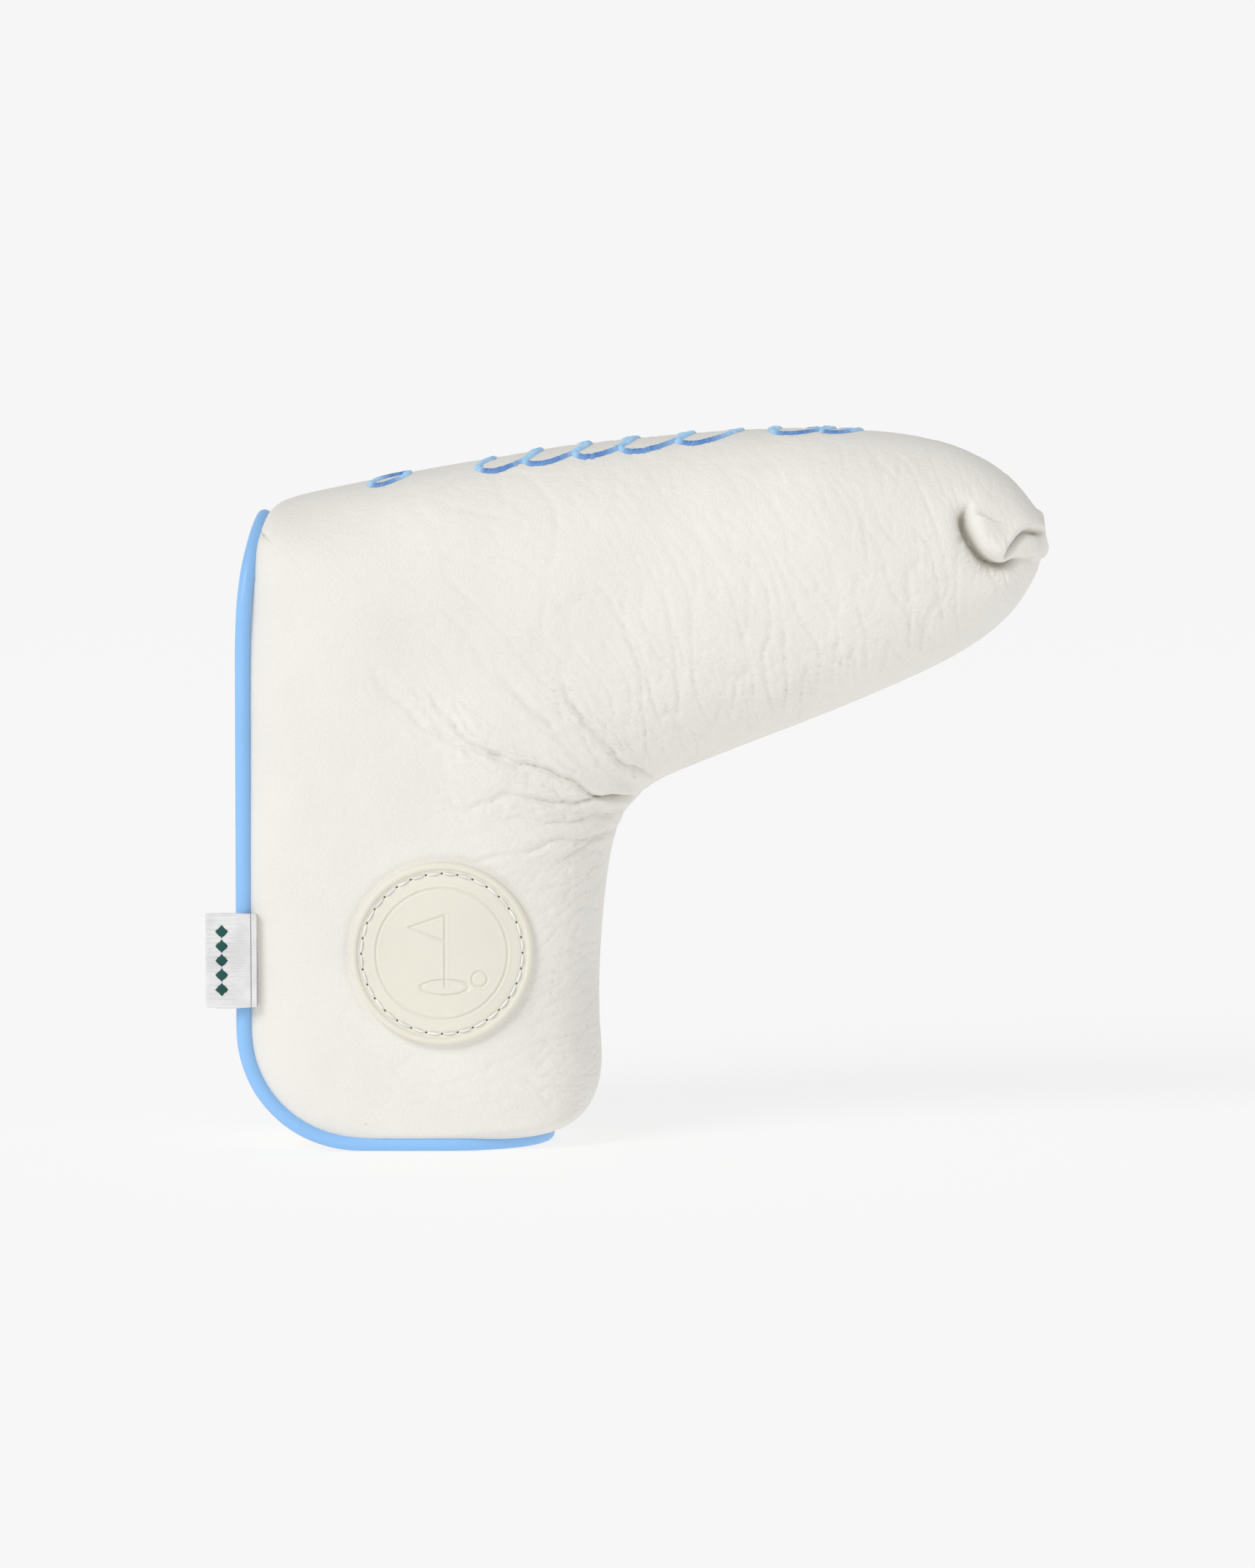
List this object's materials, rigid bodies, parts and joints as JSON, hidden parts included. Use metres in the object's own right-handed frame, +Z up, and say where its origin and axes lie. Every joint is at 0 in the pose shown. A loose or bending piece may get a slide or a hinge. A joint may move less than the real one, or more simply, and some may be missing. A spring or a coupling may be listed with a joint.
{
  "type": "putter head cover",
  "caption": "Padded boot-shaped leather cover for a blade putter's head and neck, with piped sole strip, magnetic back flap, round patch and woven side tag.",
  "frame": {"origin": "the middle of the whole object's box, at the level it stands on", "axes": "+Z up, from the toe end to the heel; +X along the neck, away from the sole strip; +Y to the back, where the flap is; the front faces -Y"},
  "size_m": [0.1656, 0.0524, 0.1424],
  "materials": {
    "leather": "satin",
    "patch_leather": "satin",
    "piping": "satin",
    "cord": "matte",
    "foam": "matte",
    "plush": "matte",
    "board": "matte",
    "magnet": "satin",
    "elastic": "matte",
    "thread_white": "matte",
    "thread_blue": "satin",
    "ribbon": "matte",
    "tag_thread": "matte"
  },
  "bodies": {
    "cover": {"leather_upper": "leather", "sole_strip": "leather", "sole_board": "board", "piping_cover": "piping", "piping_cord": "cord", "sole_padding": "foam", "front_padding": "foam", "back_padding": "foam", "body_magnets": "magnet", "front_lining": "plush", "back_lining": "plush", "sole_lining": "plush", "mouth_binding": "leather", "neck_elastic": "elastic", "crown_seam_thread": "thread_white", "round_patch": "patch_leather", "patch_thread": "thread_white", "spine_embroidery": "thread_blue", "tag_root": "ribbon"},
    "flap": {"flap_leather": "leather", "flap_board": "board", "flap_lining": "plush", "flap_magnets": "magnet", "flap_thread": "thread_white"},
    "tag": {"side_tag": "ribbon", "tag_pattern": "tag_thread"}
  },
  "joints": [
    {"name": "flap_hinge", "type": "hinge", "parent": "cover", "child": "flap", "pos_m": [-0.0736, 0.02295, 0.06], "axis": [0, 0, 1], "range_deg": [0, 120]},
    {"name": "tag_bend", "type": "hinge", "parent": "cover", "child": "tag", "pos_m": [-0.074, -0.024, 0.038], "axis": [0, 0, 1], "range_deg": [0, 75], "stiffness_Nm_per_rad": 0.0002}
  ]
}
